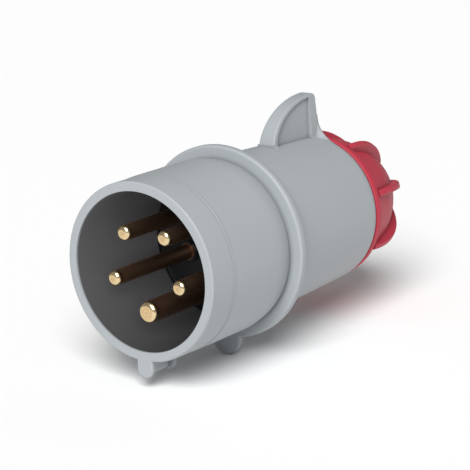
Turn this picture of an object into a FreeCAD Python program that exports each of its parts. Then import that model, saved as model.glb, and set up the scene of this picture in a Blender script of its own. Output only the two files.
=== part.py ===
import FreeCAD
import Part
import math
import os

# Industrial pin and sleeve plug, 16 A, three phases with neutral and earth. All lengths in millimetres.
# The plug's axis is Y. The mouth is at Y = 0 and faces -Y, and the cable leaves towards +Y.
# Z is up, through the hook. The key, the tab and the earth pin are at the bottom.

Vector = FreeCAD.Vector
ORIGIN = Vector(0, 0, 0)
AXIS = Vector(0, 1, 0)

# Clearances
SLIP = 0.1                  # pieces of one body that are pushed into each other
RUN = 0.3                   # pieces that turn or slide past each other
GRIP_RUN = 0.35             # radial, between the nut's cone and the fingers
BEND = "bend"               # marks the middle point of an arc in an outline

# Front sleeve: shroud, neck and flange
SLEEVE_RADIUS = 28.25       # outside of the band behind the rim
RIM_WIDTH = 3.0             # light ring seen from the front
RIM_ROUND = 0.5
LIP_DEPTH = 0.8             # lip that covers the edge of the carrier's skirt
BAND_LENGTH = 10.7          # from the rim to the step line
BAND_STEP = 0.2
SLEEVE_LENGTH = 41.0        # from the rim to the flange
SLEEVE_DRAFT = 0.6          # the bore narrows by this much from lip to flange
NECK_RADIUS = 27.1          # where the sleeve meets the flange
NECK_LENGTH = 8.0
FLANGE_HEIGHT = 4.5         # above the neck
FLANGE_THICKNESS = 3.0
FLANGE_ROUND = 0.9

# Front sleeve: key and tab below it, each with a full-round end
KEY_WIDTH = 5.9
KEY_HEIGHT = 5.45           # below the sleeve
KEY_LENGTH = 12.2
KEY_PLATE = 1.5             # front and rear plates of the cored key
KEY_WEB = 2.0
KEY_WEB_INSET = 0.9         # the web stops this short of the plates' ends
TAB_WIDTH = 10.8
TAB_HEIGHT = 5.9            # below the flange
TAB_THICKNESS = 2.3
EDGE_ROUND = 0.4

# Pin carrier: skirt, base, spigot and terminal towers
SKIRT_WALL = 1.0
BASE_SETBACK = 0.2          # the face that the pins stand on lies this far ahead of the flange
BASE_THICKNESS = 6.2
COLLAR_WALL = 0.9           # raised ring round the foot of each pin
COLLAR_HEIGHT = 1.4
SPIGOT_WALL = 2.7           # the rear housing turns on it
SPIGOT_LENGTH = 13.0
TOWER_RADIUS = 6.3
TOWER_GAP = 0.9             # between a tower and the spigot's bore
HUB_OVERLAP = 1.1           # the hub between the towers reaches this far into them

# Snap cams that hold the front sleeve on the carrier
CAM_COUNT = 4
CAM_ANGLE = 12.0
CAM_HEIGHT = 1.1
CAM_LENGTH = 1.0
CAM_LAND = 0.35             # flat top behind the ramp
CAM_SETBACK = 0.9           # from the flange's front face to the groove

# Bayonet between carrier and rear housing
LUG_COUNT = 3
LUG_ANGLE = 12.0
LUG_FIRST = 30.0
LUG_HEIGHT = 1.3
LUG_LENGTH = 2.4
LUG_LAND = 1.6              # flat top ahead of the ramp
LUG_SETBACK = 4.5           # from the flange's rear face to the lug
TURN = 30.0                 # from locked to free
TURN_ROOM = 1.0             # degrees of room beside a lug

# Housing seal, an O-ring on the spigot
RING_SECTION = 0.8          # radius of its round section
RING_SETBACK = 9.8          # from the flange's rear face to its groove

# Pins
PIN_CIRCLE = 13.4
PIN_RADIUS = 2.5
EARTH_RADIUS = 3.5
TIP_SETBACK = 2.3           # behind the rim
TIP_ROUND = 1.5
SHANK_STEP = 0.3            # a pin is this much thicker where the base holds it
EARTH_ANGLE = -90.0
PIN_STEP = 72.0

# Terminals at the rear of the pins
BARREL_RADIUS = 4.0
EARTH_BARREL_RADIUS = 4.6
BARREL_LENGTH = 18.0
BARREL_CHAMFER = 0.5
WIRE_RADIUS = 2.1
WIRE_DEPTH = 12.0
SCREW_SETBACK = 3.5         # from the barrel's rear end to the terminal screw
SCREW_RADIUS = 1.9
SCREW_LENGTH = 2.8          # shank below the head
SCREW_HEAD_RADIUS = 2.6
SCREW_HEAD_HEIGHT = 1.7
SPOT_DEPTH = 0.9            # flat milled into the barrel under the head
SLOT_WIDTH = 0.8
SLOT_DEPTH = 0.8

# Pin retainer and its screws
TOWER_MARGIN = 1.0          # the towers stand this far past the barrels
RETAINER_THICKNESS = 2.5
RETAINER_INSET = 0.4
FUNNEL_RADIUS = 3.6
FUNNEL_THROAT = 2.5
RETAINER_SCREWS = 3
RETAINER_SCREW_CIRCLE = 5.0
RETAINER_SCREW_RADIUS = 1.2
RETAINER_SCREW_LENGTH = 10.0
RETAINER_HEAD_RADIUS = 2.3
RETAINER_HEAD_HEIGHT = 1.4

# Rear housing
HOUSING_FRONT_RADIUS = 26.9
HOUSING_REAR_RADIUS = 25.25
HOUSING_LENGTH = 50.6       # from the flange's running gap to the rear face
HOUSING_WALL = 2.9
HOUSING_FRONT_ROUND = 0.4
REAR_ROUND_LENGTH = 3.1
REAR_ROUND_DROP = 0.85
END_WALL = 3.0

# Hook, one with the rear housing: a quarter ellipse in front, a steep back that flares out to its foot
HOOK_CENTRE_Z = 24.0
HOOK_TOP = 16.2             # above its centre
HOOK_FRONT = 23.8           # ahead of its centre
HOOK_FLAT = 0.1             # level stretch between the ellipse and the round
HOOK_CORNER = 2.1
HOOK_LEAN = 0.3             # the back leans forward by this much up to the round
HOOK_FLARE = 6.0            # height of the flare above the housing's rear edge
HOOK_FLARE_RADIUS = 20.0
HOOK_FOOT_ROUND = 1.0       # between the hook's sides and the housing
HOOK_CURVE_STEPS = 8
HOOK_FOOT_WIDTH = 6.8
HOOK_TOP_WIDTH = 4.7
HOOK_WEB = 3.4              # left between the two pockets
HOOK_RIM_FRONT = 2.1
HOOK_RIM_TOP = 1.2
HOOK_BORDER = 5.2           # solid behind the pockets, to the housing's rear face
HOOK_ROUND = 0.5

# Threaded tube of the gland, with the thread's core as a plain cylinder
TUBE_RADIUS = 17.6
THREAD_HEIGHT = 0.8
TUBE_LENGTH = 11.6          # behind the housing's rear face
TUBE_BORE = 15.2
SEAT_DEPTH = 0.5            # the cage seats this far inside the housing's rear face
SEAT_OPENING = 11.5

# Cable seal and clamp cage
SEAL_BORE = 8.4
SEAL_RADIUS = 12.5
SEAL_LENGTH = 17.6
SEAL_TAPER = 2.5
CAGE_RING_LENGTH = 5.0
CAGE_LENGTH = 23.1
CAGE_TAPER_LENGTH = 8.0
CAGE_TIP_RADIUS = 12.0
CAGE_GRIP_RADIUS = 10.0
CAGE_GRIP_LENGTH = 4.2
CAGE_FINGERS = 10
CAGE_SLOT = 2.0

# Gland washer and nut
WASHER_THICKNESS = 1.3
WASHER_BORE = 15.7
NUT_FRONT_GAP = 0.35
NUT_RIM_RADIUS = 24.8
NUT_RIM_LENGTH = 2.2
NUT_RIM_STEP = 0.6
NUT_RIDGE_RADIUS = 21.5
NUT_RIDGE = 12.75           # from the nut's front edge to the ridge
NUT_DOME_RADIUS = 17.6
NUT_DOME = 21.4             # from the nut's front edge to the middle of the dome
NUT_END_RADIUS = 12.4
NUT_LENGTH = 29.9
NUT_MOUTH_RADIUS = 9.5
NUT_MOUTH_LENGTH = 3.0
NUT_ROUND = 0.8
EAR_COUNT = 8
EAR_FIRST = 15.0            # a little above the horizontal, as the nut is left
EAR_ARC_RADIUS = 29.3       # outline of an ear, nearly a circle round the axis
EAR_ARC_CENTRE = 6.05       # from the nut's front edge
EAR_ARC_DROP = 3.9          # its centre lies this far beyond the axis
EAR_START = 2.75
EAR_END_RADIUS = 13.4
EAR_ROOT_WIDTH = 3.0
EAR_TIP_WIDTH = 2.0
EAR_ROUND = 0.7

# Places along the axis that several pieces share
SKIRT_FRONT = LIP_DEPTH
BASE_DEPTH = SLEEVE_LENGTH - BASE_SETBACK
COLLAR_FRONT = BASE_DEPTH - COLLAR_HEIGHT
FLANGE_REAR = SLEEVE_LENGTH + FLANGE_THICKNESS
BASE_REAR = BASE_DEPTH + BASE_THICKNESS
SPIGOT_END = FLANGE_REAR + SPIGOT_LENGTH
BARREL_END = BASE_REAR + BARREL_LENGTH
TOWER_END = BARREL_END + TOWER_MARGIN
SCREW_Y = BARREL_END - SCREW_SETBACK
RETAINER_REAR = TOWER_END + RETAINER_THICKNESS
HOUSING_FRONT = FLANGE_REAR + RUN
HOUSING_REAR = HOUSING_FRONT + HOUSING_LENGTH
SEAT_Y = HOUSING_REAR - SEAT_DEPTH
TUBE_END = HOUSING_REAR + TUBE_LENGTH
CAGE_END = SEAT_Y + CAGE_LENGTH
TAPER_END = HOUSING_REAR - REAR_ROUND_LENGTH
WASHER_FRONT = TUBE_END + RUN
WASHER_REAR = WASHER_FRONT + WASHER_THICKNESS
NUT_FRONT = HOUSING_REAR + NUT_FRONT_GAP
NUT_REAR = NUT_FRONT + NUT_LENGTH

# Radii that several pieces share
FLANGE_RADIUS = NECK_RADIUS + FLANGE_HEIGHT
KEY_REACH = SLEEVE_RADIUS + KEY_HEIGHT
KEY_WEB_REACH = KEY_REACH - KEY_WEB_INSET
TAB_REACH = FLANGE_RADIUS + TAB_HEIGHT
HUB_RADIUS = PIN_CIRCLE - TOWER_RADIUS + HUB_OVERLAP
SPIGOT_RADIUS = PIN_CIRCLE + TOWER_RADIUS + TOWER_GAP + SPIGOT_WALL
LIP_RADIUS = SLEEVE_RADIUS - RIM_WIDTH
BORE_RADIUS = LIP_RADIUS + SKIRT_WALL + SLIP
SPIGOT_BORE = SPIGOT_RADIUS + RUN
THREAD_RADIUS = TUBE_RADIUS + THREAD_HEIGHT
NUT_BORE = THREAD_RADIUS + RUN
CAGE_RADIUS = TUBE_BORE - SLIP

# Hook's outline, from the housing's rear edge
REAR_EDGE_RADIUS = HOUSING_REAR_RADIUS - REAR_ROUND_DROP
HOOK_LOW = REAR_EDGE_RADIUS - HOUSING_WALL
HOOK_HIGH = HOOK_CENTRE_Z + HOOK_TOP
FLARE_TOP = REAR_EDGE_RADIUS + HOOK_FLARE
FLARE_RUN = HOOK_FLARE_RADIUS - math.sqrt(HOOK_FLARE_RADIUS ** 2 - HOOK_FLARE ** 2)
HOOK_BACK_Y = HOUSING_REAR - FLARE_RUN - HOOK_LEAN
HOOK_CENTRE_Y = HOOK_BACK_Y - HOOK_CORNER - HOOK_FLAT

# The pins from the earth pin at the bottom, counter-clockwise as the mouth is seen
PIN_NAMES = ["earth", "l1", "l2", "l3", "neutral"]


def outline(corners):
    """Closed wire through (a, b) corners in the XY plane; (a, b, BEND) is the middle of an arc."""
    edges = []
    points = [Vector(corner[0], corner[1], 0) for corner in corners]
    bends = [len(corner) == 3 for corner in corners]
    count = len(corners)
    for index in range(count):
        after = (index + 1) % count
        beyond = (index + 2) % count
        if bends[index]:
            continue
        if bends[after]:
            edges.append(Part.Arc(points[index], points[after], points[beyond]).toShape())
        else:
            edges.append(Part.makeLine(points[index], points[after]))
    return Part.Wire(edges)


def turned(corners, angle=360.0):
    """Solid turned about the axis from (radius, y) corners."""
    return Part.Face(outline(corners)).revolve(ORIGIN, AXIS, angle)


def spun(shape, angle):
    """Copy of a shape turned about the axis, so that +X goes to the given angle towards +Z."""
    copy = shape.copy()
    copy.rotate(ORIGIN, AXIS, -angle)
    return copy


def ring_sector(corners, middle, width):
    """Part of a turned ring, width degrees wide, centred on the angle middle."""
    return spun(turned(corners, width), middle + width / 2)


def rod(radius, start, end, x=0.0):
    """Cylinder along the axis direction, at a distance x from the axis."""
    return Part.makeCylinder(radius, end - start, Vector(x, start, 0), AXIS)


def spoke(radius, start, end, y):
    """Cylinder that runs outwards along X."""
    return Part.makeCylinder(radius, end - start, Vector(start, y, 0), Vector(1, 0, 0))


def quarter_round(corner, radius_step, y_step):
    """Start, middle and end of the round at a square corner; the steps lead from it to the two ends."""
    share = 1 - math.sqrt(0.5)
    start = (corner[0] + radius_step, corner[1])
    middle = (corner[0] + radius_step * share, corner[1] + y_step * share, BEND)
    return [start, middle, (corner[0], corner[1] + y_step)]


def tangent_bend(start, end):
    """Middle of the arc that leaves start along the axis and curves in to end, at a smaller radius."""
    drop = start[0] - end[0]
    run = end[1] - start[1]
    bow = (drop ** 2 + run ** 2) / (2 * drop)
    half = math.atan2(run, bow - drop) / 2
    return (start[0] - bow * (1 - math.cos(half)), start[1] + bow * math.sin(half), BEND)


def sleeve_bore(y):
    """Radius of the front sleeve's bore, which narrows towards the flange."""
    share = (y - LIP_DEPTH) / (FLANGE_REAR - LIP_DEPTH)
    return BORE_RADIUS - SLEEVE_DRAFT * share


def hanging_bar(width, reach, start, end, edge_round):
    """Plate that hangs from the axis through the sleeve's wall, with a full-round lower end."""
    half = width / 2
    low = -(reach - half)
    corners = [Vector(half, start, 0), Vector(half, start, low), Vector(-half, start, low)]
    corners.append(Vector(-half, start, 0))
    right = Part.makeLine(corners[0], corners[1])
    end_arc = Part.Arc(corners[1], Vector(0, start, -reach), corners[2]).toShape()
    left = Part.makeLine(corners[2], corners[3])
    top = Part.makeLine(corners[3], corners[0])
    bar = Part.Face(Part.Wire([right, end_arc, left, top])).extrude(Vector(0, end - start, 0))
    if edge_round:
        flat = [edge for edge in bar.Edges if edge.BoundBox.YLength < edge_round]
        rims = [edge for edge in flat if edge.BoundBox.ZMin < -half]
        bar = bar.makeFillet(edge_round, rims)
    return bar


def sleeve_hollow():
    """Inside of the front sleeve: the lip, the tapered bore and the groove for the snap cams."""
    groove = SLEEVE_LENGTH + CAM_SETBACK
    groove_end = groove + CAM_LENGTH + 2 * SLIP
    groove_radius = sleeve_bore(groove) + CAM_HEIGHT + SLIP
    rear = FLANGE_REAR + RUN
    corners = [(0, -RUN), (LIP_RADIUS, -RUN), (LIP_RADIUS, LIP_DEPTH), (BORE_RADIUS, LIP_DEPTH)]
    corners += [(sleeve_bore(groove), groove), (groove_radius, groove), (groove_radius, groove_end)]
    corners += [(sleeve_bore(groove_end), groove_end), (sleeve_bore(rear), rear), (0, rear)]
    return turned(corners)


def front_sleeve():
    """Shroud, neck and flange turned in one, with the key and the tab below."""
    front = SLEEVE_LENGTH
    outer = SLEEVE_RADIUS + BAND_STEP
    neck_start = (outer, front - NECK_LENGTH)
    neck_end = (NECK_RADIUS, front)
    corners = [(0, 0)]
    corners += quarter_round((SLEEVE_RADIUS, 0), -RIM_ROUND, RIM_ROUND)
    corners += [(SLEEVE_RADIUS, BAND_LENGTH), (outer, BAND_LENGTH + BAND_STEP)]
    corners += [neck_start, tangent_bend(neck_start, neck_end), neck_end]
    corners += quarter_round((FLANGE_RADIUS, front), -FLANGE_ROUND, FLANGE_ROUND)
    corners += reversed(quarter_round((FLANGE_RADIUS, FLANGE_REAR), -FLANGE_ROUND, -FLANGE_ROUND))
    corners.append((0, FLANGE_REAR))
    rear_plate = KEY_LENGTH - KEY_PLATE
    bars = [hanging_bar(KEY_WIDTH, KEY_REACH, 0, KEY_PLATE, EDGE_ROUND)]
    bars.append(hanging_bar(KEY_WIDTH, KEY_REACH, rear_plate, KEY_LENGTH, EDGE_ROUND))
    bars.append(hanging_bar(KEY_WEB, KEY_WEB_REACH, KEY_PLATE / 2, KEY_LENGTH - KEY_PLATE / 2, 0))
    bars.append(hanging_bar(TAB_WIDTH, TAB_REACH, front, front + TAB_THICKNESS, EDGE_ROUND))
    return turned(corners).fuse(bars).removeSplitter().cut(sleeve_hollow())


def pin_radius(name):
    return EARTH_RADIUS if name == "earth" else PIN_RADIUS


def shank_radius(name):
    return pin_radius(name) + SHANK_STEP


def barrel_radius(name):
    return EARTH_BARREL_RADIUS if name == "earth" else BARREL_RADIUS


def pin_angle(index):
    return EARTH_ANGLE + index * PIN_STEP


def snap_cam(index):
    """Wedge that clicks into the groove in the flange."""
    start = SLEEVE_LENGTH + CAM_SETBACK + SLIP
    end = start + CAM_LENGTH
    inner = sleeve_bore(end) - SLIP - SKIRT_WALL / 2
    outer = sleeve_bore(start) + CAM_HEIGHT
    ramp_foot = sleeve_bore(start) - SLIP
    corners = [(inner, start), (ramp_foot, start), (outer, end - CAM_LAND), (outer, end), (inner, end)]
    return ring_sector(corners, (index + 0.5) * 360.0 / CAM_COUNT, CAM_ANGLE)


def bayonet_lug(index):
    """Lug on the spigot, with a lead-in ramp at its rear."""
    start = FLANGE_REAR + LUG_SETBACK
    end = start + LUG_LENGTH
    inner = SPIGOT_RADIUS - SPIGOT_WALL / 2
    outer = SPIGOT_RADIUS + LUG_HEIGHT
    corners = [(inner, start), (outer, start), (outer, start + LUG_LAND), (SPIGOT_RADIUS, end), (inner, end)]
    return ring_sector(corners, LUG_FIRST + index * 360.0 / LUG_COUNT, LUG_ANGLE)


def pin_carrier():
    """Black cup that lines the sleeve, holds the pins and carries the rear housing."""
    skirt_front = (sleeve_bore(SKIRT_FRONT) - SLIP, SKIRT_FRONT)
    skirt_rear = (sleeve_bore(FLANGE_REAR) - SLIP, FLANGE_REAR)
    skirt_inner = sleeve_bore(BASE_DEPTH) - SLIP - SKIRT_WALL
    groove_start = FLANGE_REAR + RING_SETBACK
    groove_end = groove_start + 2 * RING_SECTION + 2 * SLIP
    groove_floor = SPIGOT_RADIUS - 2 * RING_SECTION - SLIP
    spigot_bore = SPIGOT_RADIUS - SPIGOT_WALL
    corners = [(LIP_RADIUS, SKIRT_FRONT), skirt_front, skirt_rear, (SPIGOT_RADIUS, FLANGE_REAR)]
    corners += [(SPIGOT_RADIUS, groove_start), (groove_floor, groove_start)]
    corners += [(groove_floor, groove_end), (SPIGOT_RADIUS, groove_end)]
    corners += [(SPIGOT_RADIUS, SPIGOT_END), (spigot_bore, SPIGOT_END), (spigot_bore, BASE_REAR)]
    corners += [(0, BASE_REAR), (0, BASE_DEPTH), (skirt_inner, BASE_DEPTH)]
    body = turned(corners)
    additions = [rod(HUB_RADIUS, BASE_REAR - SLIP, TOWER_END)]
    cuts = []
    for index, name in enumerate(PIN_NAMES):
        angle = pin_angle(index)
        shank = shank_radius(name)
        pocket = barrel_radius(name) + SLIP
        collar = rod(shank + COLLAR_WALL, COLLAR_FRONT, BASE_REAR, PIN_CIRCLE)
        tower = rod(TOWER_RADIUS, BASE_REAR - SLIP, TOWER_END, PIN_CIRCLE)
        additions += [spun(collar, angle), spun(tower, angle)]
        bore = rod(shank + SLIP / 2, COLLAR_FRONT - COLLAR_HEIGHT, TOWER_END, PIN_CIRCLE)
        chamber = rod(pocket, BASE_REAR, TOWER_END + SLIP, PIN_CIRCLE)
        access = spoke(SCREW_HEAD_RADIUS + RUN, PIN_CIRCLE, PIN_CIRCLE + 2 * TOWER_RADIUS, SCREW_Y)
        cuts += [spun(bore, angle), spun(chamber, angle), spun(access, angle)]
    for index in range(RETAINER_SCREWS):
        depth = TOWER_END + RETAINER_THICKNESS - RETAINER_SCREW_LENGTH - SLIP
        pilot = rod(RETAINER_SCREW_RADIUS + SLIP / 2, depth, TOWER_END + SLIP, RETAINER_SCREW_CIRCLE)
        cuts.append(spun(pilot, retainer_screw_angle(index)))
    additions += [snap_cam(index) for index in range(CAM_COUNT)]
    additions += [bayonet_lug(index) for index in range(LUG_COUNT)]
    return body.fuse(additions).cut(cuts).removeSplitter()


def contact_pin(name):
    """Turned pin with a rounded tip, its shank in the base, and a barrel for the wire and its screw."""
    pin = pin_radius(name)
    shank = shank_radius(name)
    barrel = barrel_radius(name)
    corners = [(0, TIP_SETBACK)]
    corners += quarter_round((pin, TIP_SETBACK), -TIP_ROUND, TIP_ROUND)
    corners += [(pin, COLLAR_FRONT), (shank, COLLAR_FRONT), (shank, BASE_REAR)]
    corners += [(barrel, BASE_REAR), (barrel, BARREL_END - BARREL_CHAMFER)]
    corners += [(barrel - BARREL_CHAMFER, BARREL_END), (0, BARREL_END)]
    body = turned(corners)
    body.translate(Vector(PIN_CIRCLE, 0, 0))
    seat = PIN_CIRCLE + barrel - SPOT_DEPTH
    wire_hole = rod(WIRE_RADIUS, BARREL_END - WIRE_DEPTH, BARREL_END + SLIP, PIN_CIRCLE)
    tapped = spoke(SCREW_RADIUS + SLIP / 2, PIN_CIRCLE, PIN_CIRCLE + 2 * barrel, SCREW_Y)
    spot = spoke(SCREW_HEAD_RADIUS + SLIP, seat, PIN_CIRCLE + 2 * barrel, SCREW_Y)
    return body.cut([wire_hole, tapped, spot])


def terminal_screw(name):
    """Slotted screw that clamps the wire in its barrel."""
    seat = PIN_CIRCLE + barrel_radius(name) - SPOT_DEPTH
    shank = spoke(SCREW_RADIUS, seat - SCREW_LENGTH, seat, SCREW_Y)
    head = spoke(SCREW_HEAD_RADIUS, seat, seat + SCREW_HEAD_HEIGHT, SCREW_Y)
    corner = Vector(seat + SCREW_HEAD_HEIGHT - SLOT_DEPTH, SCREW_Y - 2 * SCREW_HEAD_RADIUS, -SLOT_WIDTH / 2)
    slot = Part.makeBox(SCREW_HEAD_HEIGHT, 4 * SCREW_HEAD_RADIUS, SLOT_WIDTH, corner)
    return shank.fuse(head).removeSplitter().cut(slot)


def retainer_screw_angle(index):
    return 90.0 + index * 360.0 / RETAINER_SCREWS


def pin_retainer():
    """Plate behind the towers, lobed as they are, with a funnel for each wire."""
    body = rod(HUB_RADIUS, TOWER_END, RETAINER_REAR)
    lobes = []
    cuts = []
    for index in range(len(PIN_NAMES)):
        angle = pin_angle(index)
        lobes.append(spun(rod(TOWER_RADIUS - RETAINER_INSET, TOWER_END, RETAINER_REAR, PIN_CIRCLE), angle))
        funnel = Part.makeCone(FUNNEL_THROAT, FUNNEL_RADIUS, RETAINER_THICKNESS + 2 * SLIP,
                               Vector(PIN_CIRCLE, TOWER_END - SLIP, 0), AXIS)
        cuts.append(spun(funnel, angle))
    for index in range(RETAINER_SCREWS):
        through = RETAINER_REAR + SLIP
        hole = rod(RETAINER_SCREW_RADIUS + SLIP, TOWER_END - SLIP, through, RETAINER_SCREW_CIRCLE)
        cuts.append(spun(hole, retainer_screw_angle(index)))
    return body.fuse(lobes).cut(cuts).removeSplitter()


def retainer_screw(index):
    """Small pan-head screw that holds the retainer on the hub."""
    shank = rod(RETAINER_SCREW_RADIUS, RETAINER_REAR - RETAINER_SCREW_LENGTH, RETAINER_REAR)
    head = rod(RETAINER_HEAD_RADIUS, RETAINER_REAR, RETAINER_REAR + RETAINER_HEAD_HEIGHT)
    screw = shank.fuse(head).removeSplitter()
    screw.translate(Vector(RETAINER_SCREW_CIRCLE, 0, 0))
    corner = Vector(RETAINER_SCREW_CIRCLE - 2 * RETAINER_HEAD_RADIUS,
                    RETAINER_REAR + RETAINER_HEAD_HEIGHT - SLOT_DEPTH, -SLOT_WIDTH / 2)
    slot = Part.makeBox(4 * RETAINER_HEAD_RADIUS, 2 * SLOT_DEPTH, SLOT_WIDTH, corner)
    return spun(screw.cut(slot), retainer_screw_angle(index))


def housing_seal():
    """O-ring in the spigot's groove, just below the housing's bore."""
    centre = SPIGOT_RADIUS - RING_SECTION
    middle = FLANGE_REAR + RING_SETBACK + SLIP + RING_SECTION
    return Part.makeTorus(centre, RING_SECTION, Vector(0, middle, 0), AXIS)


def housing_outer(y):
    """Outside radius of the rear housing's straight taper."""
    share = (y - HOUSING_FRONT) / (TAPER_END - HOUSING_FRONT)
    return HOUSING_FRONT_RADIUS + (HOUSING_REAR_RADIUS - HOUSING_FRONT_RADIUS) * share


def bayonet_channel(index):
    """Way for a lug: in from the front edge, then round to the locked end."""
    low = FLANGE_REAR + LUG_SETBACK - RUN
    high = FLANGE_REAR + LUG_SETBACK + LUG_LENGTH + RUN
    inner = SPIGOT_RADIUS
    outer = SPIGOT_RADIUS + LUG_HEIGHT + RUN
    width = LUG_ANGLE + 2 * TURN_ROOM
    locked = LUG_FIRST + index * 360.0 / LUG_COUNT
    round_corners = [(inner, low), (outer, low), (outer, high), (inner, high)]
    entry_corners = [(inner, HOUSING_FRONT - RUN), (outer, HOUSING_FRONT - RUN), (outer, high), (inner, high)]
    way_round = ring_sector(round_corners, locked + TURN / 2, width + TURN)
    entry = ring_sector(entry_corners, locked + TURN, width)
    return way_round.fuse(entry).removeSplitter()


def hook_curve(front, top, x):
    """Quarter ellipse from the hook's front foot up to the point over its centre."""
    path = []
    for step in range(HOOK_CURVE_STEPS + 1):
        turn = math.radians(90.0 * step / HOOK_CURVE_STEPS)
        path.append(Vector(x, HOOK_CENTRE_Y - front * math.cos(turn), HOOK_CENTRE_Z + top * math.sin(turn)))
    curve = Part.BSplineCurve()
    curve.interpolate(path)
    return curve.toShape()


def hook_side(half):
    """The hook's side view as a block, half as wide on each side of the middle."""
    inset = HOOK_CORNER * (1 - math.sqrt(0.5))
    flat_end = Vector(-half, HOOK_BACK_Y - HOOK_CORNER, HOOK_HIGH)
    corner_middle = Vector(-half, HOOK_BACK_Y - inset, HOOK_HIGH - inset)
    back_top = Vector(-half, HOOK_BACK_Y, HOOK_HIGH - HOOK_CORNER)
    flare_start = Vector(-half, HOOK_BACK_Y + HOOK_LEAN, FLARE_TOP)
    depth = FLARE_TOP - HOOK_LOW
    run = HOOK_FLARE_RADIUS - math.sqrt(HOOK_FLARE_RADIUS ** 2 - depth ** 2)
    bend = tangent_bend((run, 0), (0, depth))
    flare_middle = Vector(-half, flare_start.y + run - bend[0], FLARE_TOP - bend[1])
    flare_end = Vector(-half, flare_start.y + run, HOOK_LOW)
    front_low = Vector(-half, HOOK_CENTRE_Y - HOOK_FRONT, HOOK_LOW)
    curve = hook_curve(HOOK_FRONT, HOOK_TOP, -half)
    front_foot = Vector(-half, HOOK_CENTRE_Y - HOOK_FRONT, HOOK_CENTRE_Z)
    edges = [curve, Part.makeLine(Vector(-half, HOOK_CENTRE_Y, HOOK_HIGH), flat_end)]
    edges.append(Part.Arc(flat_end, corner_middle, back_top).toShape())
    edges.append(Part.makeLine(back_top, flare_start))
    edges.append(Part.Arc(flare_start, flare_middle, flare_end).toShape())
    edges += Part.makePolygon([flare_end, front_low, front_foot]).Edges
    return Part.Face(Part.Wire(edges)).extrude(Vector(2 * half, 0, 0))


def hook_half(z):
    """Half the hook's width at a height, which shrinks evenly from its foot to its top."""
    share = (z - HOOK_LOW) / (HOOK_HIGH - HOOK_LOW)
    return (HOOK_FOOT_WIDTH + (HOOK_TOP_WIDTH - HOOK_FOOT_WIDTH) * share) / 2


def across(corners, start, run):
    """Block from an outline seen along the axis, symmetric about X = 0, that runs back from start."""
    mirrored = [(-corner[0], *corner[1:]) for corner in reversed(corners)]
    face = Part.Face(outline(corners + mirrored))
    face.rotate(ORIGIN, Vector(1, 0, 0), 90)
    face.translate(Vector(0, start, 0))
    return face.extrude(run)


def hook_foot():
    """Low mound with concave sides, between the hook's flanks and the housing's taper."""
    start = HOOK_CENTRE_Y - HOOK_FRONT
    length = HOUSING_REAR + RUN - start
    inner = hook_half(HOOK_CENTRE_Z)
    half = inner + HOOK_FOOT_ROUND
    surface = math.sqrt(housing_outer(start) ** 2 - half ** 2)
    corners = [(half, HOOK_LOW)]
    corners += quarter_round((inner, surface), HOOK_FOOT_ROUND, HOOK_FOOT_ROUND)
    slope = (housing_outer(TAPER_END) - housing_outer(start)) / (TAPER_END - start)
    return across(corners, start, Vector(0, length, slope * length))


def hook():
    """Fin with a pocket in each side, thinner at the top."""
    start = HOOK_CENTRE_Y - HOOK_FRONT - RUN
    length = HOUSING_REAR - start
    flanks = [(hook_half(HOOK_LOW - RUN), HOOK_LOW - RUN), (hook_half(HOOK_HIGH + RUN), HOOK_HIGH + RUN)]
    fin = hook_side(HOOK_FOOT_WIDTH / 2).common(across(flanks, start, Vector(0, 2 * length, 0)))
    edges = [edge for edge in fin.Edges if abs(edge.CenterOfMass.x) > RUN and follows_rim(edge)]
    fin = fin.makeFillet(HOOK_ROUND, edges)
    pocket_curve = hook_curve(HOOK_FRONT - HOOK_RIM_FRONT, HOOK_TOP - HOOK_RIM_TOP, HOOK_WEB / 2)
    front_foot = pocket_curve.Vertexes[0].Point
    peak = pocket_curve.Vertexes[-1].Point
    below_peak = Vector(peak.x, peak.y, HOOK_LOW)
    below_foot = Vector(front_foot.x, front_foot.y, HOOK_LOW)
    walls = Part.makePolygon([peak, below_peak, below_foot, front_foot]).Edges
    pocket = Part.Face(Part.Wire([pocket_curve] + walls)).extrude(Vector(HOOK_FOOT_WIDTH, 0, 0))
    border_y = HOUSING_REAR - HOOK_BORDER
    border = Part.makeBox(2 * HOOK_FOOT_WIDTH, HOOK_FRONT, 2 * HOOK_TOP, Vector(0, border_y, HOOK_LOW))
    right = pocket.cut(border)
    left = right.mirror(ORIGIN, Vector(1, 0, 0))
    corner = Vector(-HOOK_FOOT_WIDTH, HOUSING_REAR, 0)
    beyond = Part.makeBox(2 * HOOK_FOOT_WIDTH, length, 2 * HOOK_HIGH, corner)
    return fin.fuse(hook_foot()).cut([right, left, beyond])


def follows_rim(edge):
    """True for the edges along the hook's outline, from its front foot over the top to its back."""
    box = edge.BoundBox
    return box.ZMax > HOOK_CENTRE_Z and box.YLength > 0


def housing_hollow():
    """Inside of the rear housing: the bore on the spigot, the wiring space and the cage's seat."""
    bore_end = SPIGOT_END + RUN
    cavity_end = HOUSING_REAR - END_WALL
    corners = [(0, HOUSING_FRONT - RUN), (SPIGOT_BORE, HOUSING_FRONT - RUN), (SPIGOT_BORE, bore_end)]
    corners.append((housing_outer(bore_end) - HOUSING_WALL, bore_end))
    corners.append((housing_outer(cavity_end) - HOUSING_WALL, cavity_end))
    corners += [(SEAT_OPENING, cavity_end), (SEAT_OPENING, SEAT_Y), (TUBE_BORE, SEAT_Y)]
    corners += [(TUBE_BORE, TUBE_END + RUN), (0, TUBE_END + RUN)]
    return turned(corners)


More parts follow.
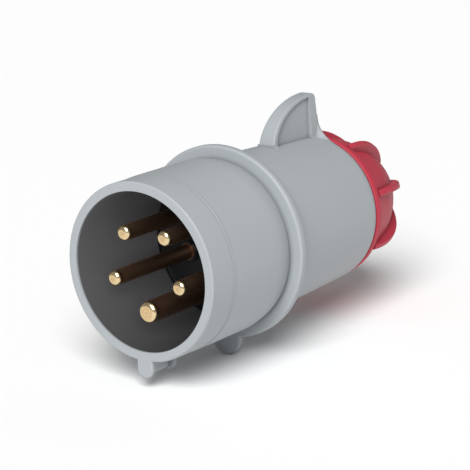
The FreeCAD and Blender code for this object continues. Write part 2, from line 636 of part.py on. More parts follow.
def rear_housing():
    """Tapered shell with the bayonet in its mouth, the hook on top and the gland's tube behind."""
    round_start = (HOUSING_REAR_RADIUS, TAPER_END)
    round_end = (REAR_EDGE_RADIUS, HOUSING_REAR)
    front_corner = (HOUSING_FRONT_RADIUS, HOUSING_FRONT)
    corners = [(0, HOUSING_FRONT)]
    corners += quarter_round(front_corner, -HOUSING_FRONT_ROUND, HOUSING_FRONT_ROUND)
    corners += [round_start, tangent_bend(round_start, round_end), round_end]
    corners += [(TUBE_RADIUS, HOUSING_REAR), (TUBE_RADIUS, TUBE_END), (0, TUBE_END)]
    channels = [bayonet_channel(index) for index in range(LUG_COUNT)]
    return turned(corners).fuse(hook()).removeSplitter().cut([housing_hollow()] + channels)


def cable_seal():
    """Rubber sleeve with a plain bore, thinner towards the rear."""
    end = SEAT_Y + SEAL_LENGTH
    corners = [(SEAL_BORE, SEAT_Y), (SEAL_RADIUS, SEAT_Y), (SEAL_RADIUS, end - SEAL_TAPER)]
    corners += [(SEAL_RADIUS - SEAL_TAPER / 2, end), (SEAL_BORE, end)]
    return turned(corners)


def cage_outer(y):
    """Outside radius of the clamp cage's tapered finger ends."""
    share = (y - (CAGE_END - CAGE_TAPER_LENGTH)) / CAGE_TAPER_LENGTH
    return CAGE_RADIUS + (CAGE_TIP_RADIUS - CAGE_RADIUS) * share


def clamp_cage():
    """Ring with fingers round the seal; their tips bend in to grip the cable."""
    taper_start = CAGE_END - CAGE_TAPER_LENGTH
    grip_start = CAGE_END - CAGE_GRIP_LENGTH
    inner = SEAL_RADIUS + SLIP
    corners = [(inner, SEAT_Y), (CAGE_RADIUS, SEAT_Y), (CAGE_RADIUS, taper_start)]
    corners += [(CAGE_TIP_RADIUS, CAGE_END), (CAGE_GRIP_RADIUS, CAGE_END)]
    corners += [(CAGE_GRIP_RADIUS, grip_start), (inner, grip_start - CAGE_SLOT)]
    body = turned(corners)
    slots = []
    for index in range(CAGE_FINGERS):
        corner = Vector(CAGE_GRIP_RADIUS / 2, SEAT_Y + CAGE_RING_LENGTH, -CAGE_SLOT / 2)
        slot = Part.makeBox(CAGE_RADIUS, CAGE_LENGTH, CAGE_SLOT, corner)
        slots.append(spun(slot, index * 360.0 / CAGE_FINGERS))
    return body.cut(slots)


def gland_washer():
    """Slip ring that keeps the turning nut from dragging on the fingers."""
    return rod(THREAD_RADIUS, WASHER_FRONT, WASHER_REAR).cut(rod(WASHER_BORE, WASHER_FRONT, WASHER_REAR))


def ear():
    """Plate in a radial plane with a round outline, thinner at its edge."""
    centre_y = NUT_FRONT + EAR_ARC_CENTRE
    start_y = NUT_FRONT + EAR_START
    start_r = math.sqrt(EAR_ARC_RADIUS ** 2 - (start_y - centre_y) ** 2) - EAR_ARC_DROP
    end_y = centre_y + math.sqrt(EAR_ARC_RADIUS ** 2 - (EAR_END_RADIUS + EAR_ARC_DROP) ** 2)
    start_turn = math.atan2(start_r + EAR_ARC_DROP, start_y - centre_y)
    end_turn = math.atan2(EAR_END_RADIUS + EAR_ARC_DROP, end_y - centre_y)
    middle = (start_turn + end_turn) / 2
    middle_r = EAR_ARC_RADIUS * math.sin(middle) - EAR_ARC_DROP
    middle_y = centre_y + EAR_ARC_RADIUS * math.cos(middle)
    root_front = (NUT_RIM_RADIUS + NUT_BORE) / 2
    root_ridge = (NUT_RIDGE_RADIUS + NUT_BORE) / 2
    corners = [(root_front, start_y), (start_r, start_y), (middle_r, middle_y, BEND)]
    corners += [(EAR_END_RADIUS, end_y), (EAR_END_RADIUS - NUT_ROUND, NUT_REAR - NUT_ROUND)]
    corners += [(EAR_END_RADIUS - NUT_ROUND, NUT_REAR - NUT_MOUTH_LENGTH / 2)]
    corners += [(root_ridge, NUT_FRONT + NUT_RIDGE)]
    face = Part.Face(outline(corners))
    half = EAR_ROOT_WIDTH / 2
    tip = EAR_TIP_WIDTH / 2
    face.translate(Vector(0, 0, -half))
    plate = face.extrude(Vector(0, 0, EAR_ROOT_WIDTH))
    inner = EAR_END_RADIUS - NUT_ROUND
    outer = EAR_ARC_RADIUS
    front = NUT_FRONT
    wedge = [Vector(inner, front, -half), Vector(outer, front, -tip), Vector(outer, front, tip)]
    wedge += [Vector(inner, front, half), Vector(inner, front, -half)]
    taper = Part.Face(Part.makePolygon(wedge)).extrude(Vector(0, 2 * NUT_LENGTH, 0))
    plate = plate.common(taper)
    curved = [edge for edge in plate.Edges if edge.Curve.TypeId != "Part::GeomLine"]
    rims = [edge for edge in curved if edge.Length > NUT_DOME / 2]
    return plate.makeFillet(EAR_ROUND, rims)


def gland_nut():
    """Domed nut with eight ears; its inner cone presses the fingers on the cable."""
    rim_end = NUT_FRONT + NUT_RIM_LENGTH
    ridge = (NUT_RIDGE_RADIUS, NUT_FRONT + NUT_RIDGE)
    dome = (NUT_DOME_RADIUS, NUT_FRONT + NUT_DOME, BEND)
    rear_round = quarter_round((NUT_END_RADIUS, NUT_REAR), -NUT_ROUND, -NUT_ROUND)
    shoulder = WASHER_REAR + RUN
    mouth_start = NUT_REAR - NUT_MOUTH_LENGTH
    corners = [(NUT_BORE, NUT_FRONT)]
    corners += quarter_round((NUT_RIM_RADIUS, NUT_FRONT), -NUT_RIM_STEP, NUT_RIM_STEP)
    corners += [(NUT_RIM_RADIUS, rim_end), (NUT_RIM_RADIUS - NUT_RIM_STEP, rim_end + NUT_RIM_STEP / 2)]
    corners += [ridge, dome]
    corners += reversed(rear_round)
    corners += [(NUT_MOUTH_RADIUS, NUT_REAR), (NUT_MOUTH_RADIUS, mouth_start)]
    corners += [(cage_outer(mouth_start) + GRIP_RUN, mouth_start)]
    corners += [(cage_outer(shoulder) + GRIP_RUN, shoulder), (NUT_BORE, shoulder)]
    body = turned(corners)
    ears = [spun(ear(), EAR_FIRST + index * 360.0 / EAR_COUNT) for index in range(EAR_COUNT)]
    return body.fuse(ears).removeSplitter()


def build():
    """Every piece in its place, by node name."""
    pieces = {"front_sleeve": front_sleeve(), "pin_carrier": pin_carrier()}
    for index, name in enumerate(PIN_NAMES):
        node = "earth_pin" if name == "earth" else "pin_" + name
        pieces[node] = spun(contact_pin(name), pin_angle(index))
        pieces["terminal_screw_" + name] = spun(terminal_screw(name), pin_angle(index))
    pieces["pin_retainer"] = pin_retainer()
    for index in range(RETAINER_SCREWS):
        pieces["retainer_screw_" + str(index + 1)] = retainer_screw(index)
    pieces["housing_seal"] = housing_seal()
    pieces["rear_housing"] = rear_housing()
    pieces["cable_seal"] = cable_seal()
    pieces["clamp_cage"] = clamp_cage()
    pieces["gland_washer"] = gland_washer()
    pieces["gland_nut"] = gland_nut()
    return pieces


os.makedirs("parts", exist_ok=True)
for node, solid in build().items():
    solid.exportStep("parts/" + node + ".step")
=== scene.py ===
import math

import bmesh
import bpy
from mathutils import Matrix, Vector


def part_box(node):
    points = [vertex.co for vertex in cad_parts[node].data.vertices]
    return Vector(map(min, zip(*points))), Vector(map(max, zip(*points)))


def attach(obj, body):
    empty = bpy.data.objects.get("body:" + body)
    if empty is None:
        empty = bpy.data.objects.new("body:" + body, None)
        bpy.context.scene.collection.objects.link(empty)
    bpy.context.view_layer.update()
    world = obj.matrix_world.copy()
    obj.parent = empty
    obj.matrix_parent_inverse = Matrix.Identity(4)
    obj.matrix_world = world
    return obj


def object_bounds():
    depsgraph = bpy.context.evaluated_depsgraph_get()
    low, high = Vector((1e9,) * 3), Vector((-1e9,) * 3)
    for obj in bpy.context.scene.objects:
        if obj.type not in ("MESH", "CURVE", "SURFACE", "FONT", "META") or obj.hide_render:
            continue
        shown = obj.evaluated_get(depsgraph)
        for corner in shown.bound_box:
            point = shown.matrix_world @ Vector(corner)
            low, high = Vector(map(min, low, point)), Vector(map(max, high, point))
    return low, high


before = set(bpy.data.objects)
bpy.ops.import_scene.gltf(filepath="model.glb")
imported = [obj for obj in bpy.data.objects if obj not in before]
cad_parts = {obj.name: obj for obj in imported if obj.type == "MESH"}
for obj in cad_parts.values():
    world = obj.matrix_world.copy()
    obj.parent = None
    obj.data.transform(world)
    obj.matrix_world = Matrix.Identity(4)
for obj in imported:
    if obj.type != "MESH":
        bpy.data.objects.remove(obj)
CAD_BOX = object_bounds()

bl_info = {
    "name": "Pin and sleeve plug finishes",
    "version": (1, 0, 0),
    "blender": (4, 5, 0),
    "location": "3D View > Sidebar > Plug",
    "description": "Finishes, gland threads and studio for an industrial pin and sleeve plug",
    "category": "Object",
}

MM = 0.001
WHITE = (1.0, 1.0, 1.0, 1.0)

# The camera, worked out from the rims of the shroud and the flange
CAMERA_PLACE = Vector((353.34, -413.05, 145.55)) * MM
CAMERA_AZIMUTH = math.radians(37.4215)
CAMERA_ELEVATION = math.radians(13.989)
CAMERA_ROLL = math.radians(-2.7604)
CAMERA_FOCAL_PIXELS = 1855.18
CAMERA_CLIP = (0.01, 20.0)      # metres
PHOTO_SIDE = 470                # pixels across the frame
SENSOR = 36.0                   # millimetres across the frame

# The studio: a soft key light for the plug, a low one that reaches into its mouth, and an overhead one for
# the floor. Places and sides are in metres, powers in watts
KEY_PLACE = (0.555, -0.924, 0.970)
KEY_SIDE, KEY_POWER = 1.0, 30.0
LOW_PLACE = (0.59, -0.96, 0.29)
LOW_SIDE, LOW_POWER = 0.9, 20.0
OVERHEAD_FROM = Vector((0.6, -1.0, 1.0))
OVERHEAD_STRENGTH = 4.12
OVERHEAD_SPREAD = math.radians(36)
SURROUNDINGS_STRENGTH = 0.26
FLOOR_GAP = 0.05 * MM           # between the floor and the lowest solid

GREY_SHELLS = ("front_sleeve", "rear_housing")
BLACK_MOULDINGS = ("pin_retainer", "clamp_cage")
RUBBER_SEALS = ("housing_seal", "cable_seal")
PIN_NODES = ("earth_pin", "pin_l1", "pin_l2", "pin_l3", "pin_neutral")
SCREW_PREFIXES = ("terminal_screw_", "retainer_screw_")

PLASTIC_IOR = 1.53              # polyamide, and close to it acetal
SHELL_SPECULAR = 0.3            # low, because the eroded grain breaks up the shells' reflections
NUT_SPECULAR = 0.25             # low, because the nut's matt skin does the same
WAVE_PERIOD = math.tau / 20     # a wave texture at scale 1 repeats after this length

# Places on the solids that the looks follow: the step behind the sleeve's band, the housing's rear edge and
# the hook
BAND_STEP_Y = 10.8 * MM
BAND_STEP_SHADE = 0.84           # share of the colour that is left in the painted shade along the step
BAND_STEP_REACH = (0.1 * MM, 1.1 * MM)
HOUSING_REAR_Y = 94.9 * MM
HOUSING_REAR_RADIUS = 25.25 * MM
REAR_ROUND_LENGTH = 3.1 * MM
REAR_ROUND_DROP = 0.85 * MM
HOOK_FRONT_Y = 60.0 * MM        # the whole hook lies behind this, and the flange ahead of it
HOOK_ROUNDER_Z = (26.0 * MM, 28.0 * MM)     # its edges grow rounder between these heights
HOOK_BACK_Y = 93.98 * MM        # above its foot
HOOK_BACK_FOOT_Z = 30.4 * MM    # where the back starts to curve out to the rear edge
HOOK_BACK_CURVE = 20.0 * MM
HOOK_LOW_Z, HOOK_HIGH_Z = 21.5 * MM, 40.2 * MM
HOOK_LOW_HALF, HOOK_HIGH_HALF = 3.4 * MM, 2.35 * MM

# Behind a pin's tip: how far its cut end reaches, and where its polished round gives way to the shank, whose
# darker brown is painted shade
CUT_END = (0.01 * MM, 0.05 * MM)
ROUND_TO_SHANK = (1.2 * MM, 2.4 * MM)

# The threads' ridges: how deep they are rooted in the solids, and where they stop
THREAD_ROOTED = 0.05 * MM
TUBE_THREAD_START = 0.9 * MM    # behind the front of the clamp cage
TUBE_THREAD_END = 0.3 * MM      # ahead of the tube's end
NUT_THREAD_END = 0.4 * MM       # ahead of the slip washer


def linear(hex_colour):
    """Linear RGBA of an sRGB hex value."""
    digits = hex_colour.lstrip("#")
    channels = [int(digits[i:i + 2], 16) / 255 for i in (0, 2, 4)]
    toned = [c / 12.92 if c <= 0.04045 else ((c + 0.055) / 1.055) ** 2.4 for c in channels]
    return (*toned, 1.0)


def length(name, description, millimetres):
    """A length property whose default is given in millimetres."""
    return bpy.props.FloatProperty(name=name, description=description, default=millimetres * MM,
                                   unit="LENGTH", min=0.0, precision=5)


def colour(name, description, hex_colour):
    """A colour property whose default is an sRGB hex value."""
    return bpy.props.FloatVectorProperty(name=name, description=description, default=linear(hex_colour),
                                         size=4, subtype="COLOR", min=0.0, max=1.0)


class PlugSizes(bpy.types.PropertyGroup):
    """Sizes of what is added to the plug's solids."""

    thread_pitch: length("Thread pitch", "Advance of the gland nut in one turn", 4.0)
    thread_core: length("Thread core", "Radius of the tube under the gland's thread", 17.6)
    thread_crest: length("Thread crest", "Radius over the thread on the tube", 18.4)
    nut_thread_crest: length("Nut thread crest", "Radius inside the nut's thread", 17.8)
    nut_thread_root: length("Nut thread root", "Radius of the nut's bore", 18.7)
    grain: length("Grain", "Grain of the moulds' surface, drawn three times as coarse so that it shows", 0.25)
    edge: length("Edge rounding", "Small radius that the moulds leave on edges", 0.25)
    hook_edge: length("Hook edge rounding", "Rounder edges of the hook's rim", 0.9)
    flare_radius: length("Flare radius", "Hollow beside the hook's back, at the housing's rear edge", 11.0)
    flare_length: length("Flare length", "How far ahead of the rear edge the flare starts", 5.1)
    lining_depth: length("Lining depth", "Depth of the textured lining, down to the polished base", 39.2)
    turning: length("Turning marks", "Spacing of the lathe marks, drawn eight times as coarse to show", 0.9)
    floor_side: length("Floor", "Side of the square floor", 6000.0)


class PlugColours(bpy.types.PropertyGroup):
    """Colours of the plug's materials."""

    grey: colour("Shell grey", "Light grey of the sleeve and the housing", "#9ca1a4")
    lining: colour("Lining charcoal", "Textured black plastic in the light", "#575759")
    black: colour("Insert black", "Polished black of the pin carrier's base", "#0f1012")
    red: colour("Gland red", "Red of the gland nut", "#b03545")
    brass: colour("Brass", "Polished rounds of the pins' tips", "#e6cfa4")
    end_brass: colour("End brass", "Flat ends of the pins, where they were cut off", "#ebcd9c")
    # The shanks' darker brown is painted shade, standing in for the dark mouth that they reflect
    shank_brass: colour("Shank brass", "Shanks of the pins, brown from handling", "#ae8a70")
    zinc: colour("Zinc", "Zinc plating of the screws", "#b9bcc0")
    rubber: colour("Rubber", "Black rubber of the seals", "#1a1a1b")
    acetal: colour("Acetal", "White plastic of the slip washer", "#dcdcd6")
    floor: colour("Floor", "Pale floor", "#f4f4f4")


def add_node(tree, kind, inputs=None, **settings):
    """Adds a node; inputs maps an input to a value or to the socket that feeds it.

    A Mix node takes its share at 0, numbers at 2 and 3 and colours at 6 and 7, and gives a number at 0 and a
    colour at 2.
    """
    node = tree.nodes.new(kind)
    for name, value in settings.items():
        setattr(node, name, value)
    for name, value in (inputs or {}).items():
        if isinstance(value, bpy.types.NodeSocket):
            tree.links.new(value, node.inputs[name])
        else:
            node.inputs[name].default_value = value
    return node


def new_material(name):
    """An empty node material with its Principled shader."""
    material = bpy.data.materials.new(name)
    material.use_nodes = True
    return material, material.node_tree, material.node_tree.nodes["Principled BSDF"]


def shades(tint, change):
    """The same colour a little darker and a little lighter."""
    return [tuple(min(1.0, channel * share) for channel in tint[:3]) + (1.0,)
            for share in (1 - change, 1 + change)]


def moulded_skin(tree, shader, grain, depth, edge):
    """Normal of a moulding: the mould's even grain, on edges that the mould leaves slightly round."""
    place = add_node(tree, "ShaderNodeTexCoord").outputs["Object"]
    fine = add_node(tree, "ShaderNodeTexNoise", {"Vector": place, "Scale": 1 / grain, "Detail": 2.0})
    rounded = add_node(tree, "ShaderNodeBevel", {"Radius": edge}, samples=6)
    bump = add_node(tree, "ShaderNodeBump", {"Height": fine.outputs["Fac"], "Distance": depth,
                                             "Strength": 0.5, "Normal": rounded.outputs["Normal"]})
    tree.links.new(bump.outputs["Normal"], shader.inputs["Normal"])
    return place


def rounder_on_hook(tree, edge, hook_edge):
    """Edge radius of the grey shells, larger on the hook than elsewhere."""
    place = add_node(tree, "ShaderNodeTexCoord").outputs["Object"]
    parts = add_node(tree, "ShaderNodeSeparateXYZ", {"Vector": place}).outputs
    low, high = HOOK_ROUNDER_Z
    risen = add_node(tree, "ShaderNodeMapRange", {"Value": parts["Z"], "From Min": low, "From Max": high,
                                                  "To Min": edge, "To Max": hook_edge}).outputs["Result"]
    behind = add_node(tree, "ShaderNodeMath", {0: parts["Y"], 1: HOOK_FRONT_Y}, operation="GREATER_THAN")
    return add_node(tree, "ShaderNodeMix", {0: behind.outputs["Value"], 2: edge, 3: risen}).outputs[0]


def flow_marks(tree, place, size=22 * MM):
    """Slow change of tone where the melt flowed through the mould, from 0 to 1."""
    marks = add_node(tree, "ShaderNodeTexNoise", {"Vector": place, "Scale": 1 / size, "Detail": 3.0})
    return marks.outputs["Fac"]


def painted_corner_shade(tree, tone, reach=1.8 * MM, darkest=0.6):
    """Paints shade into a colour in deep corners, from the ambient occlusion of the geometry around them."""
    open_sky = add_node(tree, "ShaderNodeAmbientOcclusion", {"Distance": reach}, samples=8).outputs["AO"]
    painted_shade = add_node(tree, "ShaderNodeMapRange", {"Value": open_sky, "From Min": 0.3, "From Max": 0.9,
                                                 "To Min": darkest, "To Max": 1.0}).outputs["Result"]
    corner_shaded = add_node(tree, "ShaderNodeVectorMath", {0: tone, "Scale": painted_shade}, operation="SCALE")
    return corner_shaded.outputs["Vector"]


def finish_plastic(tree, shader, place, tint, roughness, mottling, unevenness=0.04):
    """Colour and gloss of injection-moulded plastic, which shift a little with the flow of the melt, with
    painted shade in its deep corners.
    """
    flow = flow_marks(tree, place)
    darker, lighter = shades(tint, mottling)
    mottled = add_node(tree, "ShaderNodeMix", {0: flow, 6: darker, 7: lighter}, data_type="RGBA").outputs[2]
    # Painted shade in deep corners and creases, from ambient occlusion
    tone = painted_corner_shade(tree, mottled)
    gloss = add_node(tree, "ShaderNodeMapRange", {"Value": flow, "From Min": 0.3, "From Max": 0.7,
                                                  "To Min": roughness - unevenness,
                                                  "To Max": roughness + unevenness})
    tree.links.new(tone, shader.inputs["Base Color"])
    tree.links.new(gloss.outputs["Result"], shader.inputs["Roughness"])
    shader.inputs["IOR"].default_value = PLASTIC_IOR
    return tone


def moulded_plastic(name, tint, grain, edge, roughness, depth, mottling):
    """Injection-moulded plastic: a fine even grain from the mould, flow that shifts tone a little, and
    painted shade in its corners.
    """
    material, tree, shader = new_material(name)
    place = moulded_skin(tree, shader, grain, depth, edge)
    finish_plastic(tree, shader, place, tint, roughness, mottling)
    return material


def shell_plastic(name, tint, grain, edge, hook_edge):
    """Grey polyamide: matt from a spark-eroded mould, rounder on the hook, with painted shade along the
    sleeve's step and in deep corners.
    """
    material, tree, shader = new_material(name)
    place = moulded_skin(tree, shader, grain, depth=0.02 * MM, edge=rounder_on_hook(tree, edge, hook_edge))
    tone = finish_plastic(tree, shader, place, tint, roughness=0.5, mottling=0.02)
    # Painted shade: a soft dark line along the step behind the sleeve's band
    along = add_node(tree, "ShaderNodeSeparateXYZ", {"Vector": place}).outputs["Y"]
    behind_step = add_node(tree, "ShaderNodeMath", {0: along, 1: BAND_STEP_Y}, operation="SUBTRACT")
    away = add_node(tree, "ShaderNodeMath", {0: behind_step.outputs["Value"]}, operation="ABSOLUTE")
    near, far = BAND_STEP_REACH
    painted_shade = add_node(tree, "ShaderNodeMapRange", {"Value": away.outputs["Value"], "From Min": near,
                                                 "From Max": far, "To Min": BAND_STEP_SHADE, "To Max": 1.0})
    shaded = add_node(tree, "ShaderNodeVectorMath", {0: tone, "Scale": painted_shade.outputs["Result"]},
                      operation="SCALE")
    tree.links.new(shaded.outputs["Vector"], shader.inputs["Base Color"])
    shader.inputs["Specular IOR Level"].default_value = SHELL_SPECULAR
    return material


def lined_insert(name, lining, base, depth_of_lining, grain, edge, mottling=0.06, border=0.1 * MM):
    """Black polyamide: the eroded lining scatters light and looks charcoal, the polished base stays black."""
    material, tree, shader = new_material(name)
    place = moulded_skin(tree, shader, grain, depth=0.012 * MM, edge=edge)
    along = add_node(tree, "ShaderNodeSeparateXYZ", {"Vector": place}).outputs["Y"]
    inner = add_node(tree, "ShaderNodeMapRange", {"Value": along, "From Min": depth_of_lining - border,
                                                  "From Max": depth_of_lining + border}).outputs["Result"]
    flow = flow_marks(tree, place)
    darker, lighter = shades(lining, mottling)
    tone = add_node(tree, "ShaderNodeMix", {0: flow, 6: darker, 7: lighter}, data_type="RGBA").outputs[2]
    both = add_node(tree, "ShaderNodeMix", {0: inner, 6: tone, 7: base}, data_type="RGBA").outputs[2]
    gloss = add_node(tree, "ShaderNodeMapRange", {"Value": inner, "To Min": 0.6, "To Max": 0.3})
    tree.links.new(both, shader.inputs["Base Color"])
    tree.links.new(gloss.outputs["Result"], shader.inputs["Roughness"])
    shader.inputs["IOR"].default_value = PLASTIC_IOR
    return material


def nearest_axis(tree, place, centres):
    """Distance from the nearest of the pins' axes."""
    flattened = add_node(tree, "ShaderNodeVectorMath", {0: place, 1: (1, 0, 1)}, operation="MULTIPLY")
    across = flattened.outputs["Vector"]
    distances = [add_node(tree, "ShaderNodeVectorMath", {0: across, 1: (centre.x, 0, centre.z)},
                          operation="DISTANCE").outputs["Value"] for centre in centres]
    nearest = distances[0]
    for apart in distances[1:]:
        nearer = add_node(tree, "ShaderNodeMath", {0: nearest, 1: apart}, operation="MINIMUM")
        nearest = nearer.outputs["Value"]
    return nearest


def turned_brass(name, tints, spacing, centres, tip_y, stain=1.6 * MM):
    """Brass bar turned on a lathe: polished rounds, ringed cut ends, and shanks painted darker and browner as
    shade for the dark mouth they reflect.
    """
    material, tree, shader = new_material(name)
    rounds, ends, shanks = tints
    place = add_node(tree, "ShaderNodeTexCoord").outputs["Object"]
    radius = nearest_axis(tree, place, centres)
    along = add_node(tree, "ShaderNodeSeparateXYZ", {"Vector": place}).outputs["Y"]
    on_end = add_node(tree, "ShaderNodeMapRange", {
        "Value": along, "From Min": tip_y + CUT_END[0], "From Max": tip_y + CUT_END[1],
        "To Min": 1.0, "To Max": 0.0}).outputs["Result"]
    # Where the shanks' painted shade fades in behind the polished round
    on_shank = add_node(tree, "ShaderNodeMapRange", {
        "Value": along, "From Min": tip_y + ROUND_TO_SHANK[0],
        "From Max": tip_y + ROUND_TO_SHANK[1]}).outputs["Result"]

    # The tool runs in across the end and back along the bar, so one wave over both gives its marks
    tool_path = add_node(tree, "ShaderNodeMath", {0: radius, 1: along}, operation="ADD").outputs["Value"]
    travel = add_node(tree, "ShaderNodeCombineXYZ", {"X": tool_path}).outputs["Vector"]
    rings = add_node(tree, "ShaderNodeTexWave", {"Vector": travel, "Scale": WAVE_PERIOD / spacing,
                                                 "Distortion": 0.4, "Detail": 2.0},
                     bands_direction="X").outputs["Fac"]
    stains = add_node(tree, "ShaderNodeTexNoise", {"Vector": place, "Scale": 1 / stain,
                                                   "Detail": 4.0}).outputs["Fac"]

    # Colour: stains all over, grooves in the ends alone, and painted shade on the shanks
    face = add_node(tree, "ShaderNodeMix", {0: on_end, 6: rounds, 7: ends}, data_type="RGBA").outputs[2]
    bar = add_node(tree, "ShaderNodeMix", {0: on_shank, 6: face, 7: shanks}, data_type="RGBA").outputs[2]
    wear = add_node(tree, "ShaderNodeMapRange", {"Value": stains, "To Min": 0.92, "To Max": 1.06})
    worn = add_node(tree, "ShaderNodeVectorMath", {0: bar, "Scale": wear.outputs["Result"]},
                    operation="SCALE")
    grooves = add_node(tree, "ShaderNodeMapRange", {"Value": rings, "To Min": 0.78, "To Max": 1.05})
    marks = add_node(tree, "ShaderNodeMix", {0: on_end, 2: 1.0, 3: grooves.outputs["Result"]})
    tone = add_node(tree, "ShaderNodeVectorMath", {0: worn.outputs["Vector"], "Scale": marks.outputs[0]},
                    operation="SCALE")

    # Gloss and relief: the rounds are the smoothest, the ends have the deepest marks
    polish = add_node(tree, "ShaderNodeMapRange", {"Value": stains, "To Min": 0.16, "To Max": 0.24})
    dull_end = add_node(tree, "ShaderNodeMapRange", {"Value": on_end, "To Max": 0.2})
    dull_shank = add_node(tree, "ShaderNodeMapRange", {"Value": on_shank, "To Max": 0.2})
    duller = add_node(tree, "ShaderNodeMath", {0: dull_end.outputs["Result"],
                                               1: dull_shank.outputs["Result"]})
    gloss = add_node(tree, "ShaderNodeMath", {0: polish.outputs["Result"], 1: duller.outputs["Value"]})
    relief = add_node(tree, "ShaderNodeMapRange", {"Value": on_end, "To Min": 0.2, "To Max": 0.9})
    bump = add_node(tree, "ShaderNodeBump", {"Height": rings, "Distance": 0.02 * MM,
                                             "Strength": relief.outputs["Result"]})
    tree.links.new(tone.outputs["Vector"], shader.inputs["Base Color"])
    tree.links.new(gloss.outputs["Value"], shader.inputs["Roughness"])
    tree.links.new(bump.outputs["Normal"], shader.inputs["Normal"])
    shader.inputs["Metallic"].default_value = 1.0
    return material


def plated_steel(name, tint, crystal=0.5 * MM):
    """Zinc-plated steel: a dull silver skin with a crystalline grain, drawn coarse so that it shows."""
    material, tree, shader = new_material(name)
    place = add_node(tree, "ShaderNodeTexCoord").outputs["Object"]
    crystals = add_node(tree, "ShaderNodeTexVoronoi", {"Vector": place, "Scale": 1 / crystal})
    gloss = add_node(tree, "ShaderNodeMapRange", {"Value": crystals.outputs["Distance"], "To Min": 0.25,
                                                  "To Max": 0.45})
    tree.links.new(gloss.outputs["Result"], shader.inputs["Roughness"])
    shader.inputs["Base Color"].default_value = tint
    shader.inputs["Metallic"].default_value = 1.0
    return material


def moulded_rubber(name, tint, speck=1.5 * MM, bloom=0.8):
    """Moulded rubber: matt, with a grey bloom of dust in specks."""
    material, tree, shader = new_material(name)
    place = add_node(tree, "ShaderNodeTexCoord").outputs["Object"]
    dust = add_node(tree, "ShaderNodeTexNoise", {"Vector": place, "Scale": 1 / speck,
                                                 "Detail": 5.0}).outputs["Fac"]
    bloomed = shades(tint, bloom)[1]
    tone = add_node(tree, "ShaderNodeMix", {0: dust, 6: tint, 7: bloomed}, data_type="RGBA")
    bump = add_node(tree, "ShaderNodeBump", {"Height": dust, "Distance": 0.02 * MM, "Strength": 0.4})
    tree.links.new(tone.outputs[2], shader.inputs["Base Color"])
    tree.links.new(bump.outputs["Normal"], shader.inputs["Normal"])
    shader.inputs["Roughness"].default_value = 0.75
    return material


def dress(names, material):
    """Gives CAD nodes their material."""
    for name in names:
        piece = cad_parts[name]
        slots = piece.material_slots
        if not slots:
            piece.data.materials.append(material)
        for slot in slots:
            slot.material = material


def mesh_piece(name, bm, body, material):
    """Turns a bmesh into a piece that rides on a body."""
    bmesh.ops.recalc_face_normals(bm, faces=bm.faces)
    mesh = bpy.data.meshes.new(name)
    bm.to_mesh(mesh)
    bm.free()
    mesh.shade_smooth()
    piece = bpy.data.objects.new(name, mesh)
    bpy.context.scene.collection.objects.link(piece)
    mesh.materials.append(material)
    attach(piece, body)


def skin_between(bm, loops):
    """Joins each loop of corners to the next with quads."""
    count = len(loops[0])
    for before, after in zip(loops, loops[1:]):
        for k in range(count):
            n = (k + 1) % count
            bm.faces.new((before[k], before[n], after[n], after[k]))


def helix(root, crest, start, end, pitch, steps_per_turn=96, fade_turns=0.25):
    """A thread ridge along Y from start to end, its trapezoid section fading out at both ends."""
    bm = bmesh.new()
    width = pitch * 0.36        # of the ridge at its root
    half_root, half_crest = width / 2, width / 5
    turns = (end - start - width) / pitch
    steps = round(turns * steps_per_turn)
    loops = []
    for step in range(steps + 1):
        share = step / steps
        fade = min(1.0, share * turns / fade_turns, (1 - share) * turns / fade_turns)
        top = root + (crest - root) * fade
        angle = math.tau * turns * share
        middle = start + half_root + turns * pitch * share
        section = ((root, -half_root), (top, -half_crest), (top, half_crest), (root, half_root))
        loops.append([bm.verts.new((radius * math.cos(angle), middle + offset, -radius * math.sin(angle)))
                      for radius, offset in section])
    skin_between(bm, loops)
    bm.faces.new(loops[0])
    bm.faces.new(loops[-1])
    return bm


def hook_half(z):
    """Half the hook's width at a height."""
    share = (z - HOOK_LOW_Z) / (HOOK_HIGH_Z - HOOK_LOW_Z)
    return HOOK_LOW_HALF + (HOOK_HIGH_HALF - HOOK_LOW_HALF) * share


def hook_back(z):
    """Y of the hook's back at a height: steep above, then curving out to the housing's rear edge."""
    depth = min(max(HOOK_BACK_FOOT_Z - z, 0.0), HOOK_BACK_FOOT_Z - (HOUSING_REAR_RADIUS - REAR_ROUND_DROP))
    return HOOK_BACK_Y + HOOK_BACK_CURVE - math.sqrt(HOOK_BACK_CURVE ** 2 - depth ** 2)


def rear_surface(y):
    """Outside radius of the housing near its rounded rear edge."""
    into_round = max(0.0, 1 - (HOUSING_REAR_Y - y) / REAR_ROUND_LENGTH)
    return HOUSING_REAR_RADIUS - REAR_ROUND_DROP * (1 - math.sqrt(1 - min(1.0, into_round) ** 2))


